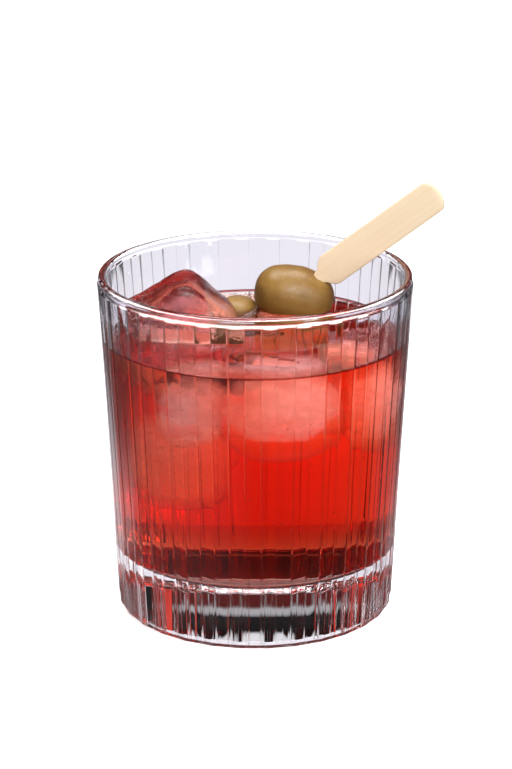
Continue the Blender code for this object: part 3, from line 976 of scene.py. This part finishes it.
red = drink_finish()
print("drink finish:", red.name, "density", SOAK_DENSITY)

# %% Drink
def cut_out(target, body):
    """Take a body out of the target for good."""
    tool = make_piece("room", body)
    boolean = target.modifiers.new("room", 'BOOLEAN')
    boolean.operation = 'DIFFERENCE'
    boolean.solver = 'EXACT'
    boolean.object = tool
    bpy.context.view_layer.update()
    made = bpy.data.meshes.new_from_object(target.evaluated_get(bpy.context.evaluated_depsgraph_get()))
    target.modifiers.clear()
    target.data = made
    bpy.data.objects.remove(tool, do_unlink=True)


drink = make_piece("aperitif", drink_body(), red)
for lump in (LEFT_ICE, FRONT_ICE, BACK_ICE):
    cut_out(drink, ice_body(*lump, shrink=ROOM_SHRINK))


def read_body(mesh):
    """Points and faces of a mesh, as triangles."""
    mesh.calc_loop_triangles()
    points = np.empty(len(mesh.vertices) * 3)
    mesh.vertices.foreach_get("co", points)
    tris = np.empty(len(mesh.loop_triangles) * 3, dtype=int)
    mesh.loop_triangles.foreach_get("vertices", tris)
    return points.reshape(-1, 3), np.empty((0, 4), dtype=int), tris.reshape(-1, 3)


whole = joined([read_body(drink.data)] + rooms + [bubbles_body(BUBBLE_COUNT, BUBBLE_SEED)])
bpy.data.objects.remove(drink, do_unlink=True)
drink = make_piece("aperitif_drink", whole, red)
drink.data.set_sharp_from_angle(angle=math.radians(50.0))
points = whole[0]
reach = np.hypot(points[:, 0], points[:, 1])
in_room = ((points[:, 2] > ROOMS_FROM) & (points[:, 2] < LEVEL - ROOMS_UNDER)
           & (reach < inner_radius(points[:, 2]) - ROOMS_OFF_WALL))
drink.data.attributes.new("room", 'FLOAT', 'POINT').data.foreach_set("value", in_room.astype(float))
print("points on room walls:", int(in_room.sum()), "of", len(points))
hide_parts("drink")
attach(drink, "root")

# %% [markdown]
# ## Olives
# A brined olive is an egg with a slightly squared middle. Its skin is olive brown with
# paler freckles and a soft, not glassy, shine, and it puckers where the pick goes in. The
# shape is the CAD's formula on a finer grid, with shallow dents and a pit at the pick.

# %% Olive shape
PICK_POINT = np.array((0.0113, 0.0250, 0.0829))
PICK_WAY = np.array((0.773, -0.134, 0.620))
PICK_WAY /= np.linalg.norm(PICK_WAY)
OLIVE_HALF_LENGTH = 11.4 * MM
OLIVE_HALF_WIDTH = 8.4 * MM
OLIVE_TAPER = 0.05
OLIVE_SQUARENESS = 2.35
OLIVE_DENT = 0.16 * MM
OLIVE_PUCKER = 0.035 * MM
PIT_DEPTH = 1.3 * MM
PIT_REACH = 2.0 * MM


def turn_to(way):
    """A rotation that takes +Z to a direction, as a matrix."""
    turn = Vector((0.0, 0.0, 1.0)).rotation_difference(Vector(way).normalized())
    return np.array(turn.to_matrix())


def olive_body(centre, long_way, seed, rows=90, columns=120):
    """A squared ball stretched along its own way, dented by waves and pitted at the pick."""
    turn = turn_to(long_way)

    def surface(ways):
        z = ways[..., 2]
        power = OLIVE_SQUARENESS
        total = np.abs(z) ** power + (1.0 - z ** 2) ** (power / 2.0)
        local = ways * (total ** (-1.0 / power))[..., None]
        width = OLIVE_HALF_WIDTH * (1.0 - OLIVE_TAPER * local[..., 2])
        shape = np.stack([local[..., 0] * width, local[..., 1] * width,
                          local[..., 2] * OLIVE_HALF_LENGTH], axis=-1)
        points = shape @ turn.T + np.array(centre)
        dent = OLIVE_DENT * waves(points, seed, 12.0 * MM) + OLIVE_PUCKER * waves(points, seed + 1, 3.0 * MM)
        beside = points - PICK_POINT
        off = np.linalg.norm(beside - (beside @ PICK_WAY)[..., None] * PICK_WAY, axis=-1)
        pit = PIT_DEPTH * np.exp(-((off / PIT_REACH) ** 2))
        inwards = points - np.array(centre)
        inwards /= np.linalg.norm(inwards, axis=-1)[..., None]
        return points + inwards * (dent - pit)[..., None]

    poles = surface(np.array([[0.0, 0.0, -1.0], [0.0, 0.0, 1.0]]))
    return turned_out(closed_skin(surface(ball_ways(rows, columns)), poles[0], poles[1]))


print("olive:", 2.0 * OLIVE_HALF_LENGTH / MM, "x", 2.0 * OLIVE_HALF_WIDTH / MM, "mm")


# %% Olive finish
def olive_finish():
    """Olive brown with a slow change of hue, freckles and a wet satin skin."""
    finish, tree = new_material("olive_skin")
    where, _, _, _ = place_on(tree)
    slow = add(tree, "ShaderNodeTexNoise", Scale=90.0, Detail=2.0)
    fine = add(tree, "ShaderNodeTexNoise", Scale=1100.0, Detail=3.0)
    dots = add(tree, "ShaderNodeTexVoronoi", Scale=620.0)
    for node in (slow, fine, dots):
        tree.links.new(where, node.inputs["Vector"])
    hue = ramp(tree, slow.outputs["Fac"], [(0.30, (0.185, 0.090, 0.018)), (0.50, (0.255, 0.136, 0.026)),
                                           (0.70, (0.315, 0.180, 0.038))])
    freckle = ramp(tree, dots.outputs["Distance"], [(0.0, 1.0), (0.10, 0.7), (0.22, 0.0)])
    freckled = blend(tree, maths(tree, 'MULTIPLY', freckle, 0.35), hue, (0.52, 0.42, 0.16))
    shader = add(tree, "ShaderNodeBsdfPrincipled")
    shader.inputs["Coat Weight"].default_value = 0.06
    shader.inputs["Coat Roughness"].default_value = 0.30
    shader.inputs["Subsurface Weight"].default_value = 0.12
    shader.inputs["Subsurface Radius"].default_value = (1.0, 0.7, 0.25)
    shader.inputs["Subsurface Scale"].default_value = 0.002
    tree.links.new(freckled, shader.inputs["Base Color"])
    rough = ramp(tree, fine.outputs["Fac"], [(0.3, 0.34), (0.7, 0.52)])
    tree.links.new(rough, shader.inputs["Roughness"])
    bump = add(tree, "ShaderNodeBump", Strength=0.25, Distance=0.0002)
    tree.links.new(fine.outputs["Fac"], bump.inputs["Height"])
    tree.links.new(bump.outputs[0], shader.inputs["Normal"])
    lay_on(tree, shader)
    return finish


skin = olive_finish()
for name, node, centre, long_way, seed in (
        ("brined_olive_front", "olive_front", (0.0112, 0.0250, 0.0831), (0.980, -0.060, -0.170), 21),
        ("brined_olive_back", "olive_back", (-0.0057, 0.0279, 0.0704), (0.120, -0.080, 1.000), 28)):
    olive = make_piece(name, olive_body(centre, long_way, seed), skin)
    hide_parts(node)
    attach(olive, "root")

# %% [markdown]
# ## Bamboo pick
# A paddle pick is stamped from a bamboo strip: a flat handle with a round end, shoulders
# that narrow to a pin, edges rubbed round. Its section is a squared ellipse whose width
# changes along the pick. The grain runs along it, so the noise reads the place measured
# in the pick's own three directions, with a far slower change along the first of them.

# %% Pick shape
PICK_MAKING = {"width": 9.5 * MM, "thickness": 1.7 * MM, "pin": 2.2 * MM, "neck": 4.6 * MM,
               "tip": -36.0 * MM, "tip_length": 5.0 * MM, "neck_start": 7.0 * MM,
               "neck_end": 10.1 * MM, "shoulder": 13.5 * MM, "cap": 49.4 * MM, "cap_length": 3.0 * MM}
PICK_BOW = 0.10 * MM


def pick_axes():
    """Across the paddle and out of its face; the face looks at the photo's camera."""
    m = PICK_MAKING
    middle = PICK_POINT + PICK_WAY * (m["shoulder"] + m["cap"]) / 2.0
    across = np.cross(PICK_WAY, np.array(EYE) - middle)
    across /= np.linalg.norm(across)
    return across, np.cross(across, PICK_WAY)


def pick_widths(along):
    """Width, thickness and squareness of the section at each place along the pick."""
    m = PICK_MAKING
    tip = np.clip((along - m["tip"]) / m["tip_length"], 0.0, 1.0)
    neck = np.clip((along - m["neck_start"]) / (m["neck_end"] - m["neck_start"]), 0.0, 1.0)
    shoulder = np.clip((along - m["neck_end"]) / (m["shoulder"] - m["neck_end"]), 0.0, 1.0)
    cap = np.clip((along - m["cap"]) / m["cap_length"], 0.0, 0.9999)
    width = m["pin"] * (0.15 + 0.85 * tip) + (m["neck"] - m["pin"]) * neck
    width = (width + (m["width"] - m["neck"]) * np.sin(shoulder * np.pi / 2.0)) * np.sqrt(1.0 - cap ** 2)
    edge = 1.0 - 0.35 * cap ** 4
    thick = m["thickness"] * (0.15 + 0.85 * tip) * edge
    return width, thick, 2.0 + 4.5 * neck


def pick_body(columns=56):
    """Squared ellipses carried along the pick's straight line."""
    m = PICK_MAKING
    end = m["cap"] + m["cap_length"]
    along = np.concatenate([
        np.linspace(m["tip"] + 0.05 * MM, m["tip"] + m["tip_length"], 8),
        np.linspace(m["tip"] + m["tip_length"], m["neck_start"], 12)[1:],
        np.linspace(m["neck_start"], m["shoulder"], 18)[1:],
        np.linspace(m["shoulder"], m["cap"], 24)[1:],
        m["cap"] + m["cap_length"] * np.sin(np.linspace(0.0, np.pi / 2.0, 20))[1:-1],
    ])
    width, thick, square = (value[:, None] for value in pick_widths(along))
    turn = (2.0 * np.pi * (np.arange(columns) + 0.5) / columns)[None, :]
    c, s = np.cos(turn), np.sin(turn)
    x = np.sign(c) * np.abs(c) ** (2.0 / square) * width / 2.0
    y = np.sign(s) * np.abs(s) ** (2.0 / square) * thick / 2.0
    across, face = pick_axes()
    line = PICK_POINT + PICK_WAY * along[:, None]
    bow = PICK_BOW * waves(line, 4, 40.0 * MM)
    rings = line[:, None, :] + x[..., None] * across + (y + bow[:, None])[..., None] * face
    first = PICK_POINT + PICK_WAY * m["tip"] + face * bow[0]
    last = PICK_POINT + PICK_WAY * end + face * bow[-1]
    return turned_out(closed_skin(rings, first, last))


pick_length = PICK_MAKING["cap"] + PICK_MAKING["cap_length"] - PICK_MAKING["tip"]
print("pick:", round(pick_length / MM, 1), "mm long")


# %% Pick finish
def bamboo_finish():
    """Pale bamboo: fibres run along the pick, and a slow cloud changes the hue."""
    finish, tree = new_material("bamboo")
    across, face = pick_axes()
    axes = np.stack([PICK_WAY, across, face])
    where, _, _, _ = place_on(tree)
    parts = []
    for row, stretch in zip(axes, (18.0, 900.0, 900.0)):
        dot = add(tree, "ShaderNodeVectorMath", operation='DOT_PRODUCT')
        tree.links.new(where, dot.inputs[0])
        dot.inputs[1].default_value = tuple(row * stretch)
        parts.append(dot.outputs["Value"])
    own = add(tree, "ShaderNodeCombineXYZ")
    for socket, value in zip(own.inputs, parts):
        tree.links.new(value, socket)
    fibre = add(tree, "ShaderNodeTexNoise", Scale=1.0, Detail=4.0, Roughness=0.6)
    tree.links.new(own.outputs[0], fibre.inputs["Vector"])
    cloud = add(tree, "ShaderNodeTexNoise", Scale=70.0, Detail=2.0)
    tree.links.new(where, cloud.inputs["Vector"])
    hue = ramp(tree, fibre.outputs["Fac"], [(0.25, (0.87, 0.71, 0.46)), (0.5, (0.92, 0.77, 0.53)),
                                            (0.75, (0.94, 0.81, 0.58))])
    clouded = blend(tree, maths(tree, 'MULTIPLY', cloud.outputs["Fac"], 0.35), hue, (0.91, 0.74, 0.48))
    shader = add(tree, "ShaderNodeBsdfPrincipled")
    tree.links.new(clouded, shader.inputs["Base Color"])
    rough = ramp(tree, fibre.outputs["Fac"], [(0.3, 0.52), (0.7, 0.68)])
    tree.links.new(rough, shader.inputs["Roughness"])
    bump = add(tree, "ShaderNodeBump", Strength=0.3, Distance=0.0001)
    tree.links.new(fibre.outputs["Fac"], bump.inputs["Height"])
    tree.links.new(bump.outputs[0], shader.inputs["Normal"])
    lay_on(tree, shader)
    return finish


pick = make_piece("bamboo_pick", pick_body(), bamboo_finish())
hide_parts("pick")
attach(pick, "root")
